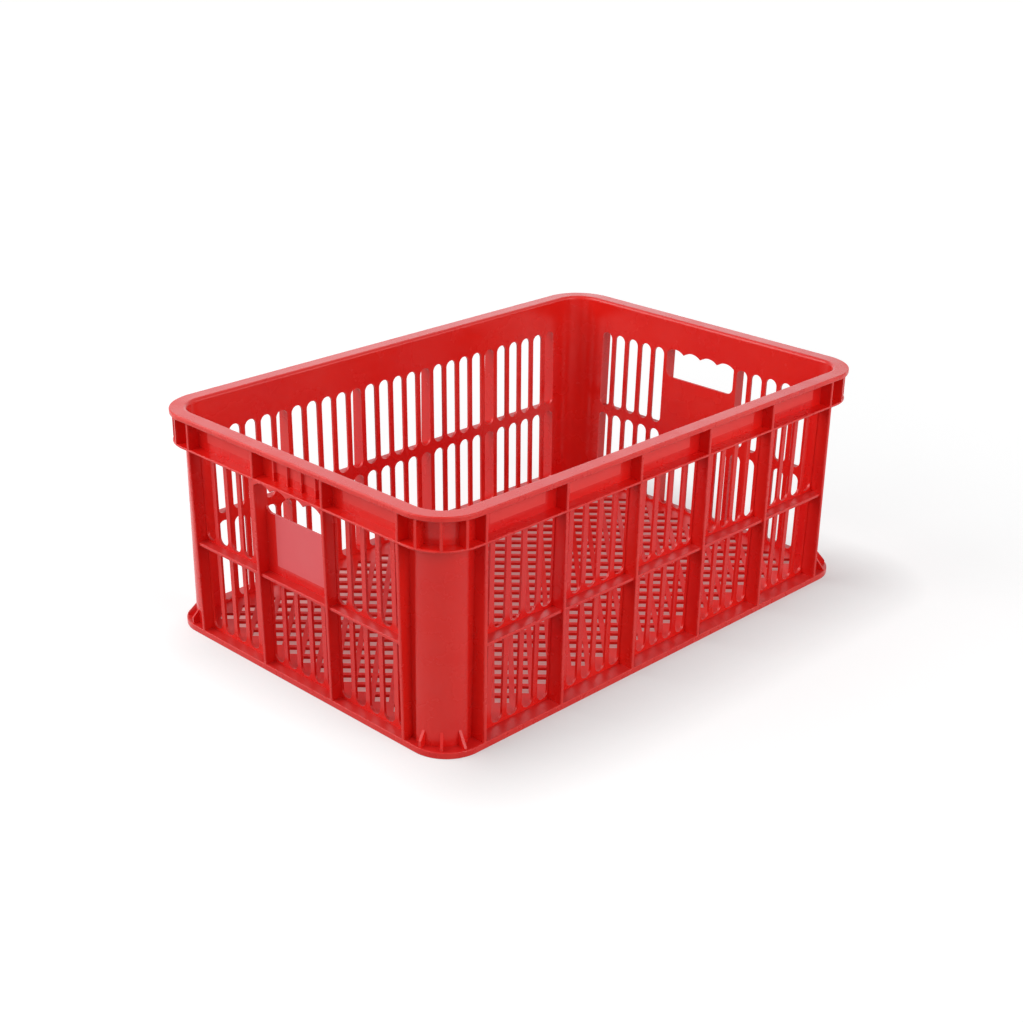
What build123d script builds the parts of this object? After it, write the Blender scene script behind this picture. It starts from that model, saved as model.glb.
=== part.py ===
"""Slotted stacking crate for harvest work, split into the members of its moulding.

Millimetres, +Z up, origin at the centre of the underside. X runs along the long sides.
Front is -Y, left is -X. Insets are measured inwards from the outer edge of the rim.
"""
import math
import os

from build123d import *

# Overall size
length = 600.0
width = 400.0
height = 228.0
corner_radius = 45.0

# Section of a side
rim_width = 17.0
rim_thick = 5.0
rim_overhang = 2.0
wall_thick = 2.5
wall_draft = 3.0
band_height = 26.0
ledge_thick = 2.2
base_thick = 6.5
rim_inner_round = 3.5
rim_outer_round = 1.2
edge_round = 0.8

# Outer edge of the base, which stands further in at the ends than along the sides
base_inset_end = 6.5
base_inset_side = 1.5
base_radius = 38.0
base_round = 1.0

# Bays, slots and the belt between the two rows of slots
bays_long = 5
bays_beside_handle = 1
slots_per_bay = 5
corner_stub = 10.0
slot_width = 14.0
slot_foot = 2.0
slot_head = 2.8
belt_top = 101.5
belt_thick = 3.2
belt_recess = 2.0
belt_step = 2.0
belt_bar = 6.0

# Ribs and gussets
rib_thick = 3.5
gusset_thick = 3.0

# Hand holes in the middle bay of both ends
hole_height = 33.0
hole_radius = 8.0
scallops = 4
scallop_depth = 4.5
scallop_skin = 0.5
cusp_round = 1.0
web_depth = 3.0
web_thick = 2.0

# Corner posts
post_inset = 13.5
fin_thick = 2.5
fin_angles = (15, 45, 75)
foot_height = 14.0
foot_toe = 1.5

# Floor mesh of diamond holes, with bars at 45 degrees
floor_thick = 3.0
mesh_pitch = 18.2
mesh_bar = 5.0
mesh_border = 8.0

# Levels and insets that follow from the sizes above
rim_low = height - rim_thick
ledge_top = rim_low - band_height
ledge_low = ledge_top - ledge_thick
lower_slots = (base_thick + slot_foot, belt_top - belt_bar)
upper_slots = (belt_top + belt_step, ledge_low - slot_head)
hole_top = ledge_low - scallop_skin
hole_floor = hole_top - hole_height
wall_outer = rim_width - wall_thick
floor_inset = rim_width + wall_draft
bays_short = 2 * bays_beside_handle + 1
span_long = length - 2 * (corner_radius + corner_stub)
span_short = width - 2 * (corner_radius + corner_stub)

# Each side: turn about Z, distance of its rim edge from the centre, span between corners, bays, base inset
sides = {
    "front": (0, width / 2, span_long, bays_long, base_inset_side),
    "right": (90, length / 2, span_short, bays_short, base_inset_end),
    "back": (180, width / 2, span_long, bays_long, base_inset_side),
    "left": (270, length / 2, span_short, bays_short, base_inset_end),
}

# Names of the panels before and after the handle bay of each end
end_panels = {"left": ("back", "front"), "right": ("front", "back")}


def place(side, shape):
    """Move a shape built along X, with Y as inset from the rim edge, onto its side."""
    turn, distance = sides[side][:2]
    return Rot(0, 0, turn) * Pos(0, -distance, 0) * shape


def block(along, inset, level):
    """Box given by its low and high limits along the side, inwards and upwards."""
    size = [high - low for low, high in (along, inset, level)]
    centre = [(high + low) / 2 for low, high in (along, inset, level)]
    return Pos(*centre) * Box(*size)


def prism(section, along):
    """Solid with a section given as inset and level, between two limits along the side."""
    start, end = along
    plane = Plane(origin=(start, 0, 0), x_dir=(0, 1, 0), z_dir=(1, 0, 0))
    return extrude(plane * make_face(Polyline(*section, close=True)), end - start)


def lean(level, at_ledge, at_base):
    """Inset at a level of a face that leans from the ledge down to the base."""
    drop = max(0, ledge_low - level) / (ledge_low - base_thick)
    return at_ledge + (at_base - at_ledge) * drop


def wall_inset(level):
    """Inset of the wall's outer face, which leans in below the ledge."""
    return lean(level, wall_outer, wall_outer + wall_draft)


def outline(inset):
    return RectangleRounded(length - 2 * inset, width - 2 * inset, corner_radius - inset)


def base_outline(inset):
    """Plan of the base, or of a line some way in from its edge."""
    end = base_inset_end + inset
    side = base_inset_side + inset
    return RectangleRounded(length - 2 * end, width - 2 * side, base_radius - inset)


def ring(outer_inset, inner_inset, low, high):
    """Closed band of the crate's plan between two insets and two levels."""
    return Pos(0, 0, low) * extrude(outline(outer_inset) - outline(inner_inset), high - low)


def rim_ring():
    shape = ring(0, rim_width, rim_low, height)
    top = shape.faces().sort_by(Axis.Z)[-1]
    bottom = shape.faces().sort_by(Axis.Z)[0]
    shape = fillet(top.outer_wire().edges() + bottom.outer_wire().edges(), rim_outer_round)
    top = shape.faces().sort_by(Axis.Z)[-1]
    return fillet(top.inner_wires()[0].edges(), rim_inner_round)


def ledge_ring():
    shape = ring(rim_overhang, rim_width, ledge_low, ledge_top)
    top = shape.faces().sort_by(Axis.Z)[-1]
    bottom = shape.faces().sort_by(Axis.Z)[0]
    return fillet(top.outer_wire().edges() + bottom.outer_wire().edges(), edge_round)


def base_ring():
    shape = extrude(base_outline(0) - outline(floor_inset), base_thick)
    top = shape.faces().sort_by(Axis.Z)[-1].outer_wire().edges()
    shape = fillet(top, edge_round)
    bottom = shape.faces().sort_by(Axis.Z)[0].outer_wire().edges()
    return fillet(bottom, base_round)


def straight_part(whole, side):
    """The part of a closed ring that lies between the two corners of one side."""
    distance, span = sides[side][1:3]
    zone = block((-span / 2, span / 2), (-1, distance), (-1, height + 1))
    return whole & place(side, zone)


def upright_face(low, high, across):
    """Sketch of a plate that stands on the side's wall line, seen from outside."""
    return Pos(0, (low + high) / 2) * Rectangle(across, high - low)


def slot_row(bay_centre, pitch, levels):
    low, high = levels
    step = pitch / slots_per_bay
    first = bay_centre - (slots_per_bay - 1) / 2 * step
    slot = SlotOverall(high - low, slot_width, rotation=90)
    return [Pos(first + i * step, (low + high) / 2) * slot for i in range(slots_per_bay)]


def stand_up(sketch, inset, thick):
    """Turn a sketch upright and thicken it outwards from the given inset."""
    plane = Plane(origin=(0, inset, 0), x_dir=(1, 0, 0), z_dir=(0, -1, 0))
    return extrude(plane * sketch, thick)


def pierced_wall(sketch, along):
    """Leaning wall between the base and the ledge, cut to a sketch seen from outside."""
    foot = wall_inset(base_thick)
    head = wall_inset(ledge_low)
    section = [
        (foot, base_thick),
        (foot + wall_thick, base_thick),
        (head + wall_thick, ledge_low),
        (head, ledge_low),
    ]
    deep = 2 * floor_inset
    return prism(section, along) & stand_up(sketch, deep, deep)


def slotted_panel(first_bay, last_bay, bays, pitch):
    """Wall plate with two rows of slots that covers some of a side's bays."""
    centres = [(bay - (bays - 1) / 2) * pitch for bay in range(first_bay, last_bay + 1)]
    along = (centres[0] - pitch / 2, centres[-1] + pitch / 2)
    middle = (along[0] + along[1]) / 2
    sketch = Pos(middle, 0) * upright_face(base_thick, ledge_low, along[1] - along[0])
    for centre in centres:
        sketch -= slot_row(centre, pitch, lower_slots)
        sketch -= slot_row(centre, pitch, upper_slots)
    return pierced_wall(sketch, along)


def handle_panel(pitch):
    """Wall plate of a handle bay: slots below, plain in the middle, open hand hole above."""
    sketch = upright_face(base_thick, ledge_low, pitch)
    sketch -= slot_row(0, pitch, lower_slots)
    reach = ledge_low - hole_floor
    hole = RectangleRounded(pitch - rib_thick, 2 * reach, hole_radius)
    sketch -= Pos(0, ledge_low) * hole
    return pierced_wall(sketch, (-pitch / 2, pitch / 2))


def grip_gap(pitch):
    """Room in the ledge for the grip, between the ribs of a handle bay."""
    half = (pitch - rib_thick) / 2
    return block((-half, half), (-1, rim_width + 1), (ledge_low - 1, ledge_top + 1))


def grip(pitch):
    """Scalloped bar in line with the ledge that the fingers hold."""
    across = pitch - rib_thick
    chord = across / scallops
    radius = (chord ** 2 / 4 + scallop_depth ** 2) / (2 * scallop_depth)
    grip_low = hole_top - scallop_depth
    sketch = upright_face(grip_low, ledge_top, across)
    for i in range(scallops):
        centre = (i - (scallops - 1) / 2) * chord
        sketch -= Pos(centre, hole_top - radius) * Circle(radius)
    cusps = sketch.vertices().group_by(Axis.Y)[0]
    inner_cusps = [v for v in cusps if abs(v.X) < across / 2 - chord / 2]
    sketch = fillet(inner_cusps, cusp_round)
    shape = stand_up(sketch, rim_width, rim_width - rim_overhang)
    front = shape.faces().sort_by(Axis.Y)[0]
    long_edges = front.edges().filter_by(lambda edge: abs(edge.center().X) < across / 2 - edge_round)
    return fillet(long_edges, edge_round)


def rib_lines(span, bays):
    return [-span / 2 + i * span / bays for i in range(bays + 1)]


def uprights(span, bays, base_inset, thick, level):
    """Plates that stand outside the wall at every rib line, with softened front edges."""
    low, high = level
    section = [
        (lean(low, rim_overhang, base_inset), low),
        (wall_inset(low), low),
        (wall_inset(high), high),
        (lean(high, rim_overhang, base_inset), high),
    ]
    shapes = []
    for line in rib_lines(span, bays):
        plate = prism(section, (line - thick / 2, line + thick / 2))
        tall_edges = plate.edges().filter_by(lambda edge: edge.bounding_box().size.Z > edge_round)
        shapes.append(fillet(tall_edges.sort_by(Axis.Y)[:2], edge_round))
    return Compound(children=shapes)


def belt(span, bays, base_inset):
    """Shelf between the two rows of slots, one length in each bay."""
    low = belt_top - belt_thick
    front = lean(belt_top, rim_overhang, base_inset) + belt_recess
    section = [(front, low), (wall_inset(low), low), (wall_inset(belt_top), belt_top), (front, belt_top)]
    shapes = []
    pitch = span / bays
    for line in rib_lines(span, bays)[:-1]:
        shelf = prism(section, (line + rib_thick / 2, line + pitch - rib_thick / 2))
        front_edges = shelf.edges().filter_by(Axis.X).sort_by(Axis.Y)[:2]
        shapes.append(fillet(front_edges, edge_round))
    return Compound(children=shapes)


def plain_band(span):
    return block((-span / 2, span / 2), (wall_outer, rim_width), (ledge_top, rim_low))


def webbed_band(span, pitch):
    """Band wall of an end, with shallow webs over the hand hole in line with the slot bars."""
    shape = plain_band(span)
    step = pitch / slots_per_bay
    for i in range(1, slots_per_bay):
        line = (i - slots_per_bay / 2) * step
        along = (line - web_thick / 2, line + web_thick / 2)
        shape += block(along, (wall_outer - web_depth, wall_outer), (ledge_top, rim_low))
    return shape


def corner_zone(sign_x, sign_y, start_x, start_y):
    """Tall box that holds one corner of the plan, outwards from the given lines."""
    reach_x = length / 2 + 1 - start_x
    reach_y = width / 2 + 1 - start_y
    zone = Box(reach_x, reach_y, 2 * height)
    return Pos(sign_x * (start_x + reach_x / 2), sign_y * (start_y + reach_y / 2), 0) * zone


def radial(sign_x, sign_y, angle, shape):
    """Turn a shape built outwards along X to an angle of one corner's arc."""
    turn = {(1, 1): angle, (-1, 1): 180 - angle, (-1, -1): 180 + angle, (1, -1): -angle}
    centre = Pos(sign_x * (length / 2 - corner_radius), sign_y * (width / 2 - corner_radius), 0)
    return centre * Rot(0, 0, turn[sign_x, sign_y]) * shape


def corner_fin():
    """Small upright between the ledge and the rim."""
    root = corner_radius - rim_width + wall_thick / 2
    return block((root, corner_radius), (-fin_thick / 2, fin_thick / 2), (ledge_top, rim_low))


def corner_foot():
    """Small sloping gusset between the post and the base."""
    root = corner_radius - rim_width + wall_thick / 2
    face = corner_radius - post_inset
    toe = corner_radius - rim_overhang
    top = base_thick + foot_height
    plane = Plane(origin=(0, fin_thick / 2, 0), x_dir=(1, 0, 0), z_dir=(0, -1, 0))
    profile = Polyline((root, base_thick), (toe, base_thick), (face, top), (root, top), close=True)
    return extrude(plane * make_face(profile), fin_thick)


def wall_body(inset):
    """Solid inside a wall face that leans in from the ledge down to the base."""
    foot = Pos(0, 0, base_thick) * outline(inset + wall_draft)
    head = Pos(0, 0, ledge_low) * outline(inset)
    return loft([foot, head], ruled=True)


def corner(sign_x, sign_y, rim, ledge, base):
    """Corner post from base to rim, with the corner lengths of the rim, ledge and base."""
    zone = corner_zone(sign_x, sign_y, span_long / 2, span_short / 2)
    arc_zone = corner_zone(sign_x, sign_y, length / 2 - corner_radius, width / 2 - corner_radius)
    band = ring(wall_outer, rim_width, ledge_top, rim_low)
    inside = wall_body(rim_width)
    wall = wall_body(wall_outer) - inside
    post = Pos(0, 0, base_thick) * extrude(outline(post_inset), ledge_low - base_thick) - inside
    fin_limit = ring(rim_overhang, rim_width, ledge_top, rim_low)
    foot_limit = extrude(base_outline(foot_toe), base_thick + foot_height)
    shape = post & arc_zone
    for member in (rim, ledge, base, band, wall):
        shape += member & zone
    for angle in fin_angles:
        shape += radial(sign_x, sign_y, angle, corner_fin()) & fin_limit
        shape += radial(sign_x, sign_y, angle, corner_foot()) & foot_limit
    return shape


def inside_border(x, y):
    """True where a point of the floor lies inside its plain border."""
    over_x = max(0, abs(x) - (length / 2 - corner_radius))
    over_y = max(0, abs(y) - (width / 2 - corner_radius))
    return math.hypot(over_x, over_y) < corner_radius - floor_inset - mesh_border


def mesh_centres():
    """Centres of the diamond holes that fit: every second point of a square grid."""
    step = mesh_pitch / math.sqrt(2)
    reach = (mesh_pitch - mesh_bar) / math.sqrt(2)
    count_x = int(length / 2 / step)
    count_y = int(width / 2 / step)
    centres = []
    for i in range(-count_x, count_x + 1):
        for j in range(-count_y, count_y + 1):
            x, y = i * step, j * step
            tips = [(x + reach, y), (x - reach, y), (x, y + reach), (x, y - reach)]
            if (i + j) % 2 == 0 and all(inside_border(*tip) for tip in tips):
                centres.append((x, y))
    return centres


def floor_mesh():
    """Floor plate with diamond holes."""
    side = mesh_pitch - mesh_bar
    diamond = Rectangle(side, side, rotation=45)
    holes = [(Pos(x, y) * diamond).face().outer_wire() for x, y in mesh_centres()]
    sheet = Face(outline(floor_inset).face().outer_wire(), holes)
    return Pos(0, 0, base_thick - floor_thick) * extrude(sheet, floor_thick)


def save(node, shape):
    export_step(shape, f"parts/{node}.step")


os.makedirs("parts", exist_ok=True)
rim = rim_ring()
ledge = ledge_ring()
base = base_ring()

for side, (turn, distance, span, bays, base_inset) in sides.items():
    pitch = span / bays
    save(f"rim_{side}", straight_part(rim, side))
    save(f"base_{side}", straight_part(base, side))
    ribs = uprights(span, bays, base_inset, rib_thick, (base_thick, ledge_low))
    gussets = uprights(span, bays, base_inset, gusset_thick, (ledge_top, rim_low))
    save(f"ribs_{side}", place(side, ribs))
    save(f"gussets_{side}", place(side, gussets))
    save(f"belt_{side}", place(side, belt(span, bays, base_inset)))
    if side in end_panels:
        before, after = end_panels[side]
        handle_bay = bays_beside_handle
        save(f"ledge_{side}", straight_part(ledge, side) - place(side, grip_gap(pitch)))
        save(f"band_{side}", place(side, webbed_band(span, pitch)))
        save(f"panel_{side}_{before}", place(side, slotted_panel(0, handle_bay - 1, bays, pitch)))
        save(f"panel_{side}_{after}", place(side, slotted_panel(handle_bay + 1, bays - 1, bays, pitch)))
        save(f"handle_panel_{side}", place(side, handle_panel(pitch)))
        save(f"grip_{side}", place(side, grip(pitch)))
    else:
        save(f"ledge_{side}", straight_part(ledge, side))
        save(f"band_{side}", place(side, plain_band(span)))
        save(f"panel_{side}", place(side, slotted_panel(0, bays - 1, bays, pitch)))

save("corner_front_left", corner(-1, -1, rim, ledge, base))
save("corner_front_right", corner(1, -1, rim, ledge, base))
save("corner_back_left", corner(-1, 1, rim, ledge, base))
save("corner_back_right", corner(1, 1, rim, ledge, base))
save("floor_mesh", floor_mesh())
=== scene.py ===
import math

import bpy
from mathutils import Matrix, Vector


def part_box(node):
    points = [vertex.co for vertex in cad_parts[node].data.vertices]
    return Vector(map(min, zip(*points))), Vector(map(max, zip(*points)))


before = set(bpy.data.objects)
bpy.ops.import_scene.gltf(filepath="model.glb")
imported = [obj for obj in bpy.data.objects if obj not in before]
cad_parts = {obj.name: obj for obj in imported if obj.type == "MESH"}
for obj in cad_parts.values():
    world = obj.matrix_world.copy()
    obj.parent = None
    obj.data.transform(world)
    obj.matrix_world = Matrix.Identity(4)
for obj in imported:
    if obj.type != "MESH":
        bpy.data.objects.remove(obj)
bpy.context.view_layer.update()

# Camera, in metres and degrees, fitted to the photograph's view
CAMERA_PLACE = (-1.1422, -1.0914, 0.7613)
CAMERA_HEADING = 44.797
CAMERA_DIP = 24.534
CAMERA_ROLL = 0.673
CAMERA_LENS = 59.29
CAMERA_SENSOR = 36.0
CAMERA_SHIFT = (0.0217, 0.0448)

# Colour of the sky, and of the floor's lift beside the crate
WHITE = (1.0, 1.0, 1.0, 1.0)

# Floor: its own colour, and a lift towards white that shows but lights nothing. The lift grows with the
# distance from the rim's outline, shifted to where the shadow lies, so that near the crate it paints
# shadow over the real one: start and end of each stretch, and the gain over it. Below the crate the lift is
# red: painted red light on the floor under the plastic
FLOOR_SIZE = 30.0
FLOOR_COLOUR = (0.4, 0.4, 0.4, 1.0)
FLOOR_ROUGH = 0.8
FLOOR_LIFT = 0.37
FLOOR_LIFT_BESIDE = (-0.05, 0.06, 0.34)
FLOOR_LIFT_AWAY = (0.3, 2.5, 0.2)
FLOOR_SHADE_SHIFT = (0.008, -0.05, 0.0)
FLOOR_PAINTED_RED_LIGHT = (1.0, 0.42, 0.4, 1.0)
FLOOR_PAINTED_RED_LIGHT_EDGE = (-0.02, -0.007)

# Lamps: place and size of each disk in metres and its power in watts, with the strength of the sky
SKY_LIGHT = 0.24
LAMP_AIM = (0.0, 0.0, 0.1)
LAMP_TINT = (1.0, 1.0, 1.0)
KEY_PLACE = (-1.7, 1.5, 1.6)
KEY_SIZE = 2.4
KEY_POWER = 47.0
LEFT_PLACE = (-2.3, 0.0, 1.3)
LEFT_SIZE = 2.0
LEFT_POWER = 10.8
RIGHT_PLACE = (0.0, -2.3, 1.3)
RIGHT_SIZE = 2.0
RIGHT_POWER = 29.0
FILL_PLACE = (1.6, -2.0, 0.85)
FILL_SIZE = 1.5
FILL_POWER = 8.3
BACK_PLACE = (1.7, 1.7, 1.15)
BACK_SIZE = 1.8
BACK_POWER = 4.4
BACK_TINT = (0.78, 0.92, 1.0)

# Red plastic: colours, and roughness from its smoothest to its dullest
RED = (0.8, 0.017, 0.011, 1.0)
RED_DEEP = (0.74, 0.009, 0.009, 1.0)
RED_WORN = (0.82, 0.042, 0.032, 1.0)
ROUGH_SMOOTH = 0.18
ROUGH_DULL = 0.32
ROUGH_WORN = 0.5
SPECULAR = 0.38

# Noise for clouds in the red, changing gloss and broken wear: scale, detail, range in use, largest share
CLOUD_SCALE = 9.0
CLOUD_DETAIL = 4.0
CLOUD_RANGE = (0.38, 0.66)
CLOUD_MOST = 0.8
GLOSS_SCALE = 35.0
GLOSS_DETAIL = 5.0
GLOSS_RANGE = (0.3, 0.7)
WEAR_SCALE = 60.0
WEAR_DETAIL = 6.0
WEAR_ROUGHNESS = 0.65
WEAR_RANGE = (0.42, 0.68)
WEAR_MOST = 0.8

# Bump, from low waves of the moulding to a fine grain: noise scale, strength, and height in metres
WAVES = (28.0, 0.15, 0.0006)
GRAIN = (1600.0, 0.04, 0.0002)
BUMP_DETAIL = 2.0

# Duller finish of the floor mesh
MESH_ROUGH = 0.5
MESH_SPECULAR = 0.22

# Matt plates in the middle of each bay, on the outside of the handle panels and of the bands under the rim:
# bays of a wall, half width of a plate, its soft edge, how far from the wall's inner face its own face is at
# least, and how far its foot is above the belt or above the band's lower edge
BAYS_LONG = 5
BAYS_END = 3
PLATE_HALF = 0.0335
PLATE_EDGE = 0.0004
PLATE_CLEAR = 0.0003
PLATE_ROUGH = 0.6
HANDLE_PLATE_RED = (0.8, 0.118, 0.13, 1.0)
HANDLE_PLATE_LIFT = 0.009
BAND_PLATE_RED = (0.82, 0.054, 0.048, 1.0)
BAND_PLATE_LIFT = 0.0075

# Painted shade on the faces that look up below the hand holes (belts, base and feet of the slots): a deeper
# red that stands for less light from above, with a duller finish. It sets in over a range of the normal's
# slope, and its share is least in the smoothest patches
SHELF_SHADE_RED = (0.61, 0.016, 0.014, 1.0)
SHELF_SLOPE = (0.5, 0.9)
SHELF_TOP = 0.15
SHELF_LEAST = 0.7
SHELF_ROUGH = 0.5

# Outline of the rim, and how far in from it the edges are worn
RIM_HALF = (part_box("rim_right")[1].x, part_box("rim_back")[1].y)
RIM_RADIUS = 0.045
WORN_FROM = -0.0045
WORN_TO = -0.0012

# Numbers of a mix node's colour sockets, which have the same names as its other sockets
MIX_FIRST = 6
MIX_SECOND = 7
MIX_RESULT = 2


def make_camera():
    heading, dip, roll = (math.radians(a) for a in (CAMERA_HEADING, CAMERA_DIP, CAMERA_ROLL))
    level = math.cos(dip)
    ahead = Vector((math.cos(heading) * level, math.sin(heading) * level, -math.sin(dip)))
    right = Vector((math.sin(heading), -math.cos(heading), 0.0))
    up = right.cross(ahead)
    rolled_right = math.cos(roll) * right + math.sin(roll) * up
    rolled_up = math.cos(roll) * up - math.sin(roll) * right
    turn = Matrix((rolled_right, rolled_up, -ahead)).transposed()
    data = bpy.data.cameras.new("camera")
    data.lens = CAMERA_LENS
    data.sensor_width = CAMERA_SENSOR
    data.shift_x, data.shift_y = CAMERA_SHIFT
    camera = bpy.data.objects.new("camera", data)
    bpy.context.scene.collection.objects.link(camera)
    camera.matrix_world = Matrix.Translation(CAMERA_PLACE) @ turn.to_4x4()
    bpy.context.scene.camera = camera


class Nodes:
    """Short way to add and link the nodes of one material or world."""

    def __init__(self, owner):
        owner.use_nodes = True
        self.tree = owner.node_tree

    def fill(self, node, sockets):
        """Links each socket to the output given for it, or sets it to the plain value given for it."""
        for name, value in sockets.items():
            if isinstance(value, bpy.types.NodeSocket):
                self.tree.links.new(value, node.inputs[name])
            else:
                node.inputs[name].default_value = value

    def add(self, kind, sockets=None, **settings):
        node = self.tree.nodes.new(kind)
        for name, value in settings.items():
            setattr(node, name, value)
        self.fill(node, sockets or {})
        return node

    def noise(self, place, scale, detail, roughness=0.5):
        sockets = {"Vector": place, "Scale": scale, "Detail": detail, "Roughness": roughness}
        return self.add("ShaderNodeTexNoise", sockets).outputs["Fac"]

    def axes(self, vector):
        return self.add("ShaderNodeSeparateXYZ", {"Vector": vector}).outputs

    def spread(self, value, low, high, to_low, to_high):
        sockets = {"Value": value, "From Min": low, "From Max": high, "To Min": to_low, "To Max": to_high}
        return self.add("ShaderNodeMapRange", sockets).outputs["Result"]

    def math(self, operation, first, second=0.0):
        return self.add("ShaderNodeMath", {0: first, 1: second}, operation=operation).outputs["Value"]

    def blend(self, share, first, second):
        sockets = {"Factor": share, MIX_FIRST: first, MIX_SECOND: second}
        return self.add("ShaderNodeMix", sockets, data_type="RGBA").outputs[MIX_RESULT]


def rim_distance(nodes, place):
    """Distance out from the rim's rounded outline: 0 on its edge, negative inside."""
    axes = nodes.axes(place)
    over = []
    for axis, half in zip("XY", RIM_HALF):
        over.append(nodes.math("SUBTRACT", nodes.math("ABSOLUTE", axes[axis]), half - RIM_RADIUS))
    squares = [nodes.math("POWER", nodes.math("MAXIMUM", value), 2.0) for value in over]
    outer = nodes.math("SQRT", nodes.math("ADD", *squares))
    inner = nodes.math("MINIMUM", nodes.math("MAXIMUM", *over))
    return nodes.math("SUBTRACT", nodes.math("ADD", outer, inner), RIM_RADIUS)


def worn_edges(nodes, place):
    """Share of wear: patches on whatever stands out as far as the rim."""
    near_edge = nodes.spread(rim_distance(nodes, place), WORN_FROM, WORN_TO, 0.0, 1.0)
    patches = nodes.noise(place, WEAR_SCALE, WEAR_DETAIL, WEAR_ROUGHNESS)
    return nodes.math("MULTIPLY", near_edge, nodes.spread(patches, *WEAR_RANGE, 0.0, WEAR_MOST))


def surface_bump(nodes, place, shader):
    """Low waves of the moulding under a fine grain."""
    above = shader
    for scale, strength, height in (GRAIN, WAVES):
        noise = nodes.noise(place, scale, BUMP_DETAIL)
        bump = nodes.add("ShaderNodeBump", {"Strength": strength, "Distance": height, "Height": noise})
        nodes.fill(above, {"Normal": bump.outputs["Normal"]})
        above = bump


def shelf_shade_area(nodes, place, patches):
    """Share of the painted shade and duller finish on the shelves, in patches on faces that look up and lie
    low enough.
    """
    normal = nodes.add("ShaderNodeNewGeometry").outputs["Normal"]
    upward = nodes.spread(nodes.axes(normal)["Z"], *SHELF_SLOPE, 0.0, 1.0)
    below = nodes.math("LESS_THAN", nodes.axes(place)["Z"], SHELF_TOP)
    share = nodes.spread(patches, *GLOSS_RANGE, SHELF_LEAST, 1.0)
    return nodes.math("MULTIPLY", nodes.math("MULTIPLY", upward, below), share)


def plate_area(nodes, place, along, across, bay, foot, face):
    """1 on the plates of an outer wall, one in the middle of each bay, and 0 elsewhere."""
    axes = nodes.axes(place)
    aside = nodes.math("PINGPONG", axes[along], bay / 2)
    within = nodes.spread(aside, PLATE_HALF - PLATE_EDGE, PLATE_HALF, 1.0, 0.0)
    above = nodes.spread(axes["Z"], foot, foot + PLATE_EDGE, 0.0, 1.0)
    outside = nodes.math("GREATER_THAN", nodes.math("ABSOLUTE", axes[across]), face)
    return nodes.math("MULTIPLY", nodes.math("MULTIPLY", within, above), outside)


def red_plastic(name, rough_range=(ROUGH_SMOOTH, ROUGH_DULL), specular=SPECULAR, shelves=True, plate=None,
                plate_red=None):
    """Moulded red plastic, with painted shade on the shelves by default, and plates if plate_area's settings
    are given.
    """
    material = bpy.data.materials.new(name)
    nodes = Nodes(material)
    shader = nodes.tree.nodes["Principled BSDF"]
    place = nodes.add("ShaderNodeTexCoord").outputs["Object"]
    cloud = nodes.spread(nodes.noise(place, CLOUD_SCALE, CLOUD_DETAIL), *CLOUD_RANGE, 0.0, CLOUD_MOST)
    colour = nodes.blend(cloud, RED, RED_DEEP)
    dull = nodes.noise(place, GLOSS_SCALE, GLOSS_DETAIL)
    rough = nodes.spread(dull, *GLOSS_RANGE, *rough_range)
    layers = [(worn_edges(nodes, place), RED_WORN, ROUGH_WORN)]
    # Painted shade, with a duller finish, on the faces that look up
    if shelves:
        layers.append((shelf_shade_area(nodes, place, dull), SHELF_SHADE_RED, SHELF_ROUGH))
    if plate:
        layers.append((plate_area(nodes, place, *plate), plate_red, PLATE_ROUGH))
    for area, layer_red, layer_rough in layers:
        colour = nodes.blend(area, colour, layer_red)
        rough = nodes.math("ADD", rough, nodes.math("MULTIPLY", area, layer_rough - ROUGH_DULL))
    nodes.fill(shader, {"Base Color": colour, "Roughness": rough, "Specular IOR Level": specular})
    surface_bump(nodes, place, shader)
    return material


def shown(nodes):
    """1 for the rays that show the background, and 0 for those that light."""
    path = nodes.add("ShaderNodeLightPath")
    seen = path.outputs["Is Camera Ray"]
    for kind in ("Glossy", "Transmission"):
        seen = nodes.math("MAXIMUM", seen, path.outputs[f"Is {kind} Ray"])
    return seen


def make_floor():
    bpy.ops.mesh.primitive_plane_add(size=FLOOR_SIZE, location=(0, 0, 0))
    floor = bpy.context.object
    floor.name = "floor"
    material = bpy.data.materials.new("floor")
    nodes = Nodes(material)
    place = nodes.add("ShaderNodeTexCoord").outputs["Object"]
    # Share of white in the lift: below the crate it is painted red light instead
    beside = nodes.spread(rim_distance(nodes, place), *FLOOR_PAINTED_RED_LIGHT_EDGE, 0.0, 1.0)
    shaded = nodes.add("ShaderNodeVectorMath", {0: place, 1: FLOOR_SHADE_SHIFT}, operation="SUBTRACT")
    away = rim_distance(nodes, shaded.outputs["Vector"])
    # Smaller lift near the crate, most on the shadow side: painted shadow over the real one
    lift = FLOOR_LIFT
    for start, end, gain in (FLOOR_LIFT_BESIDE, FLOOR_LIFT_AWAY):
        lift = nodes.math("ADD", nodes.spread(away, start, end, 0.0, gain), lift)
    nodes.fill(nodes.tree.nodes["Principled BSDF"], {
        "Base Color": FLOOR_COLOUR,
        "Roughness": FLOOR_ROUGH,
        "Specular IOR Level": 0.0,
        "Emission Color": nodes.blend(beside, FLOOR_PAINTED_RED_LIGHT, WHITE),
        "Emission Strength": nodes.math("MULTIPLY", lift, shown(nodes)),
    })
    floor.data.materials.append(material)


def make_sky():
    world = bpy.data.worlds.new("world")
    bpy.context.scene.world = world
    nodes = Nodes(world)
    strength = nodes.spread(shown(nodes), 0.0, 1.0, SKY_LIGHT, 1.0)
    nodes.fill(nodes.tree.nodes["Background"], {"Color": WHITE, "Strength": strength})


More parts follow.
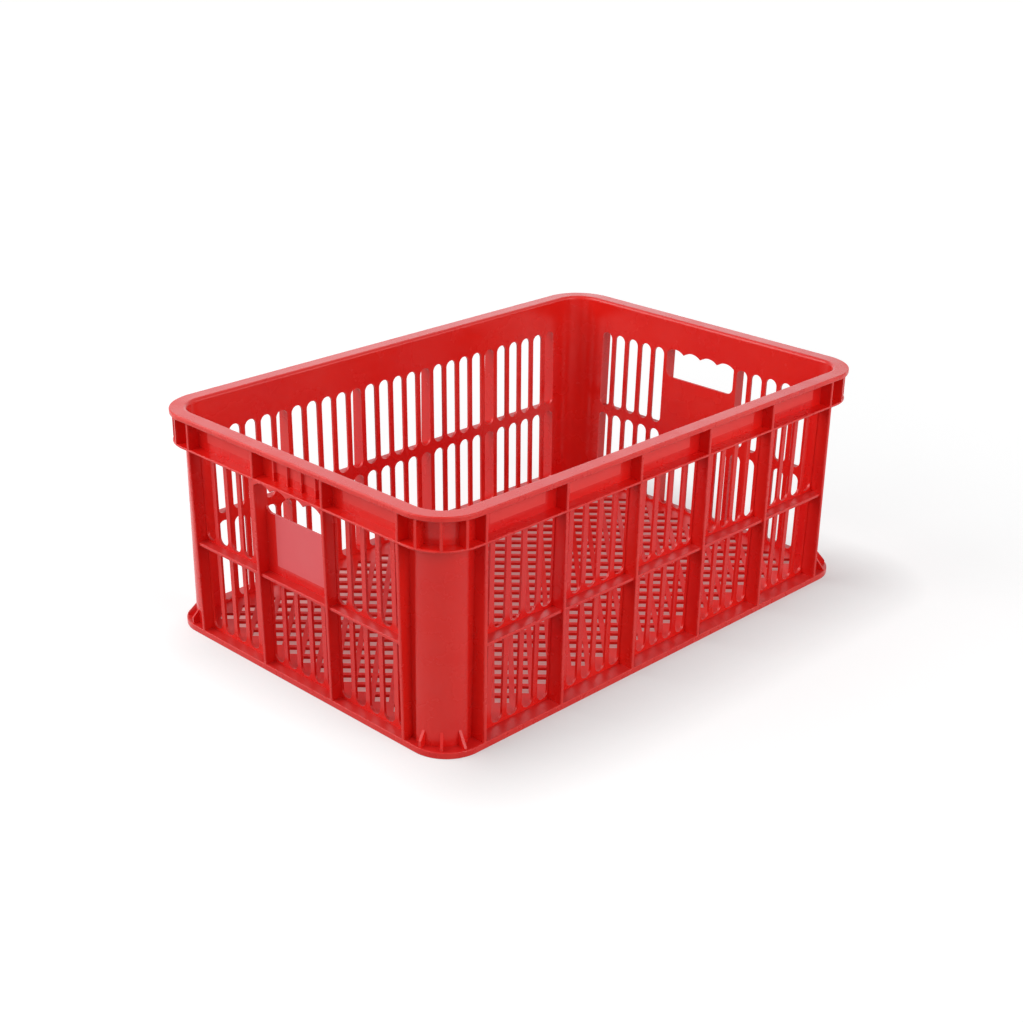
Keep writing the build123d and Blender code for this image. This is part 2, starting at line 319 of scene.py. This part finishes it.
def make_lamp(name, place, size, power, tint=LAMP_TINT):
    data = bpy.data.lights.new(name, "AREA")
    data.shape = "DISK"
    data.size = size
    data.energy = power
    data.color = tint
    lamp = bpy.data.objects.new(name, data)
    bpy.context.scene.collection.objects.link(lamp)
    lamp.location = place
    lamp.rotation_euler = (Vector(LAMP_AIM) - Vector(place)).to_track_quat("-Z", "Y").to_euler()


def make_plastics():
    """The material of every node that isn't plain red, by the node's name."""
    end_low, end_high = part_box("band_right")
    long_low, long_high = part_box("band_back")
    end_bay = (end_high.y - end_low.y) / BAYS_END
    long_bay = (long_high.x - long_low.x) / BAYS_LONG
    end_face = end_low.x + PLATE_CLEAR
    long_face = long_low.y + PLATE_CLEAR
    handle_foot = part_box("belt_right")[1].z + HANDLE_PLATE_LIFT
    band_foot = end_low.z + BAND_PLATE_LIFT
    handle_plate = ("Y", "X", end_bay, handle_foot, end_face)
    end_plate = ("Y", "X", end_bay, band_foot, end_face)
    long_plate = ("X", "Y", long_bay, band_foot, long_face)
    handle_red = red_plastic("red_plastic_handle", plate=handle_plate, plate_red=HANDLE_PLATE_RED)
    end_band_red = red_plastic("red_plastic_end_band", plate=end_plate, plate_red=BAND_PLATE_RED)
    long_band_red = red_plastic("red_plastic_long_band", plate=long_plate, plate_red=BAND_PLATE_RED)
    mesh_red = red_plastic("red_plastic_mesh", (ROUGH_DULL, MESH_ROUGH), MESH_SPECULAR, shelves=False)
    plastics = {"floor_mesh": mesh_red}
    for side in ("left", "right"):
        plastics[f"handle_panel_{side}"] = handle_red
        plastics[f"band_{side}"] = end_band_red
    for side in ("front", "back"):
        plastics[f"band_{side}"] = long_band_red
    return plastics


bpy.context.scene.view_settings.view_transform = "Standard"
make_camera()
make_floor()
make_sky()
make_lamp("key", KEY_PLACE, KEY_SIZE, KEY_POWER)
make_lamp("left", LEFT_PLACE, LEFT_SIZE, LEFT_POWER)
make_lamp("right", RIGHT_PLACE, RIGHT_SIZE, RIGHT_POWER)
make_lamp("fill", FILL_PLACE, FILL_SIZE, FILL_POWER)
make_lamp("back", BACK_PLACE, BACK_SIZE, BACK_POWER, BACK_TINT)

plain_red = red_plastic("red_plastic")
plastics = make_plastics()
for name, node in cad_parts.items():
    node.data.materials.clear()
    node.data.materials.append(plastics.get(name, plain_red))
